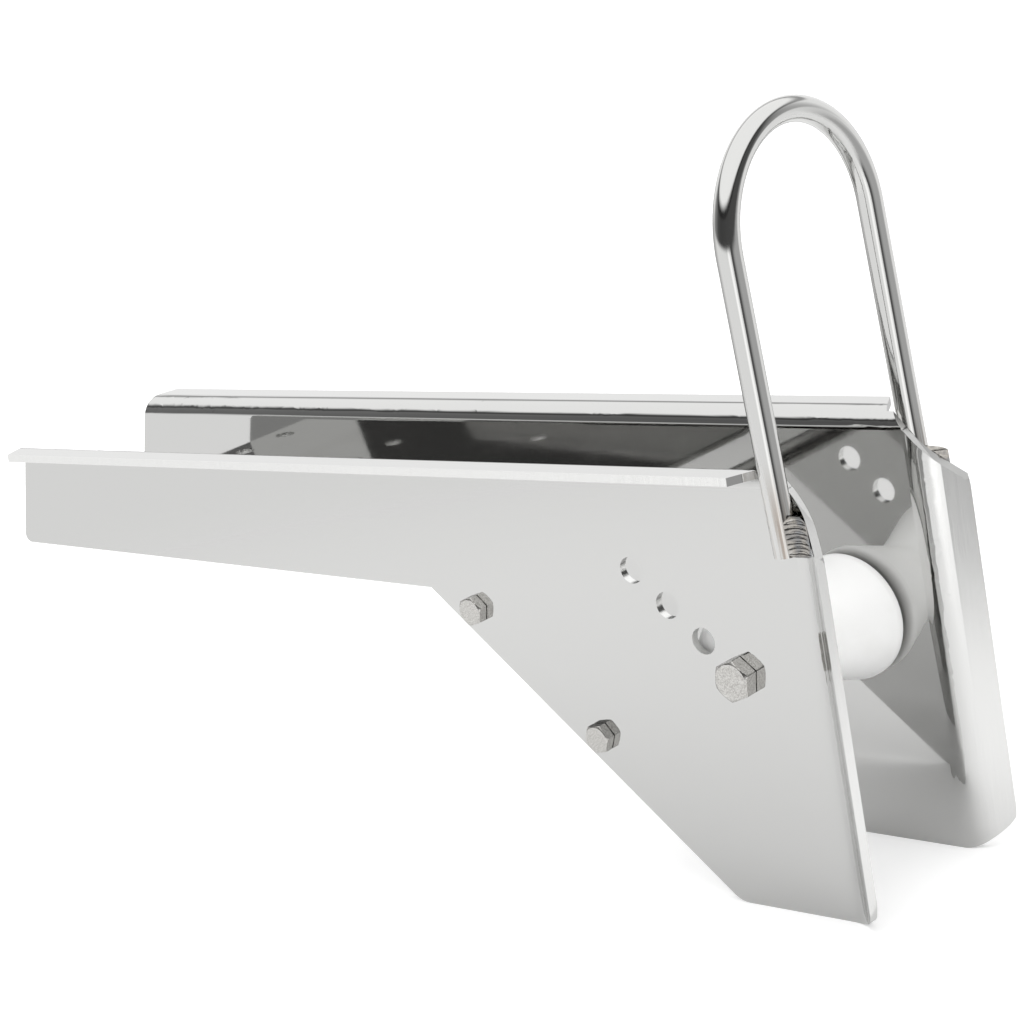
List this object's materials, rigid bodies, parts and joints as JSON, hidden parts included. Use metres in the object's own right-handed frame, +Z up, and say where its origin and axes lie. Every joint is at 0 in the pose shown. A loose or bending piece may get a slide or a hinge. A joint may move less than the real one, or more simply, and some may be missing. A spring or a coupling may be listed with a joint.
{
  "type": "bow roller",
  "caption": "Polished stainless bow roller: two folded cheeks on a drilled floor, a white grooved roller on a cross bolt, and a round-bar hoop over the nose.",
  "frame": {"origin": "centre of the four rear deck-bolt holes, on the underside of the floor plate (the deck plane)", "axes": "+X forward over the bow, +Y to port, +Z up, square to the deck"},
  "size_m": [0.5582, 0.128, 0.3709],
  "materials": {
    "polished_steel": "mirror-polished stainless steel",
    "weld_metal": "rippled weld bead with a faint heat tint",
    "fastener_steel": "satin stainless steel",
    "nut_nylon": "matte",
    "washer_nylon": "matte",
    "roller_nylon": "satin white nylon"
  },
  "bodies": {
    "frame": {"starboard_cheek": "polished_steel", "port_cheek": "polished_steel", "floor_plate": "polished_steel", "starboard_floor_weld": "weld_metal", "port_floor_weld": "weld_metal", "hoop": "polished_steel", "starboard_hoop_weld": "weld_metal", "port_hoop_weld": "weld_metal", "axle_sleeve": "polished_steel", "starboard_side_washer": "washer_nylon", "port_side_washer": "washer_nylon", "axle_bolt": "fastener_steel", "axle_washer": "fastener_steel", "axle_lock_nut": "fastener_steel", "axle_nut_insert": "nut_nylon", "upper_spacer_tube": "polished_steel", "upper_through_bolt": "fastener_steel", "upper_washer": "fastener_steel", "upper_lock_nut": "fastener_steel", "upper_nut_insert": "nut_nylon", "lower_spacer_tube": "polished_steel", "lower_through_bolt": "fastener_steel", "lower_washer": "fastener_steel", "lower_lock_nut": "fastener_steel", "lower_nut_insert": "nut_nylon"},
    "roller": {"roller": "roller_nylon"}
  },
  "joints": [
    {"name": "roller_spin", "type": "hinge", "parent": "frame", "child": "roller", "pos_m": [0.43297, 0, -0.02681], "axis": [0, 1, 0], "continuous": true}
  ]
}
